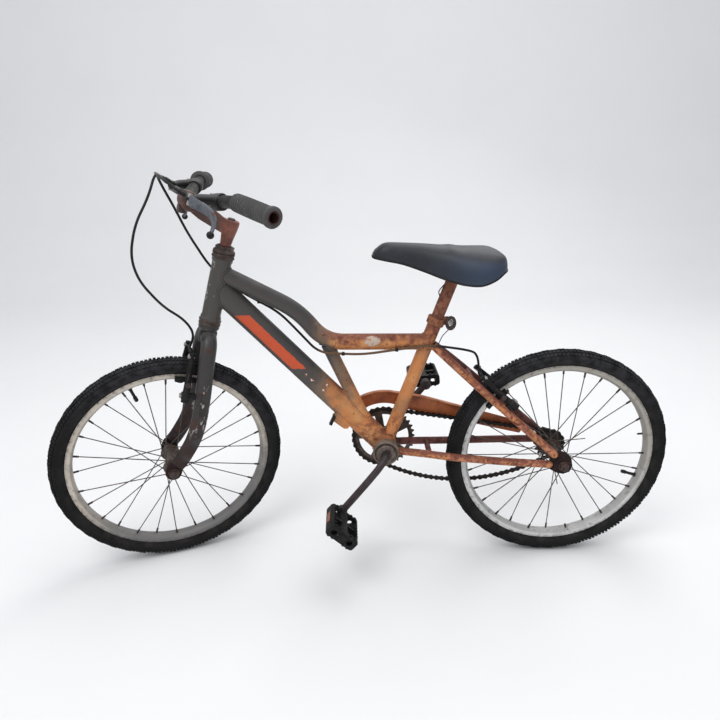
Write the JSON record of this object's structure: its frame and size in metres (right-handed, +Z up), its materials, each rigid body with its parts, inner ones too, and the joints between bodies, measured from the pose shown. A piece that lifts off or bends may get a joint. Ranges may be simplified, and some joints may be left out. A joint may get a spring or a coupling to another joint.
{
  "type": "rusty child's bicycle with 20-inch wheels",
  "caption": "Worn child's bicycle with a stepped top tube, rim brakes, slack chain, guard and one-piece crank; steers, rolls and pedals.",
  "frame": {"origin": "on top of the saddle, in the middle plane, where the rider sits", "axes": "+Z up, the bicycle faces -X, +Y is the drive side (the rider's right)"},
  "size_m": [1.3238, 0.4997, 0.8447],
  "materials": {
    "rubber": "dusty black knobbly rubber",
    "rim": "dull pale metal with rust stains",
    "spoke": "dark rusted steel",
    "dark_paint": "worn charcoal paint",
    "copper_paint": "worn copper paint with rust spots",
    "rust": "even red-brown rust",
    "black_plastic": "faded black",
    "dark_steel": "oily dark steel with rust",
    "grey_metal": "dull grey metal",
    "grip": "worn grey rubber",
    "vinyl": "dark vinyl with a soft shine"
  },
  "bodies": {
    "frame": {"head_tube": "dark_paint", "top_tube": "dark_paint", "down_tube": "dark_paint", "strut_tube": "copper_paint", "seat_tube": "copper_paint", "bottom_bracket_shell": "copper_paint", "chain_stay_left": "copper_paint", "chain_stay_right": "copper_paint", "seat_stay_left": "copper_paint", "seat_stay_right": "copper_paint", "rear_dropout_left": "copper_paint", "rear_dropout_right": "copper_paint", "chain_stay_bridge": "copper_paint", "seat_stay_bridge": "copper_paint", "seat_clamp": "black_plastic", "seat_post": "rust", "saddle_rails": "rust", "saddle": "vinyl", "chain": "dark_steel", "chain_guard": "copper_paint", "rear_axle": "dark_steel", "rear_brake_arm_left": "black_plastic", "rear_brake_arm_right": "black_plastic", "rear_brake_cable": "black_plastic", "steering_cable_slack": "black_plastic"},
    "steering": {"fork_crown": "dark_paint", "fork_leg_left": "dark_paint", "fork_leg_right": "dark_paint", "fork_tip_left": "rust", "fork_tip_right": "rust", "headset_nut": "rust", "stem": "rust", "handlebar": "dark_paint", "grip_left": "grip", "grip_right": "grip", "lever_bracket_left": "black_plastic", "lever_bracket_right": "black_plastic", "brake_lever_left": "grey_metal", "brake_lever_right": "grey_metal", "front_brake_arm_left": "black_plastic", "front_brake_arm_right": "black_plastic", "front_brake_cable": "black_plastic", "front_axle": "dark_steel"},
    "front_wheel": {"front_tyre": "rubber", "front_rim": "rim", "front_hub_and_spokes": "spoke"},
    "rear_wheel": {"rear_tyre": "rubber", "rear_rim": "rim", "rear_hub_and_spokes": "spoke", "rear_cog": "dark_steel"},
    "cranks": {"crank": "dark_steel", "chainring": "dark_steel"},
    "pedal_left": {"left_pedal": "black_plastic"},
    "pedal_right": {"right_pedal": "black_plastic"}
  },
  "joints": [
    {"name": "steer", "type": "hinge", "parent": "frame", "child": "steering", "pos_m": [-0.4575, 0, -0.0845], "axis": [0.2672, 0, 0.9636], "range_deg": [-80, 40], "deforming": ["steering_cable_slack"]},
    {"name": "front_wheel_spin", "type": "hinge", "parent": "steering", "child": "front_wheel", "pos_m": [-0.58412, -0.00771, -0.46398], "axis": [-0.3375, 0.9367, 0.0936], "continuous": true},
    {"name": "rear_wheel_spin", "type": "hinge", "parent": "frame", "child": "rear_wheel", "pos_m": [0.265, 0, -0.463], "axis": [0, 1, 0], "continuous": true},
    {"name": "crank_spin", "type": "hinge", "parent": "frame", "child": "cranks", "pos_m": [-0.115, 0, -0.44], "axis": [0, 1, 0], "continuous": true},
    {"name": "left_pedal_spin", "type": "hinge", "parent": "cranks", "child": "pedal_left", "pos_m": [-0.21072, -0.138, -0.55288], "axis": [0, 1, 0], "continuous": true},
    {"name": "right_pedal_spin", "type": "hinge", "parent": "cranks", "child": "pedal_right", "pos_m": [-0.01928, 0.138, -0.32712], "axis": [0, 1, 0], "continuous": true}
  ]
}
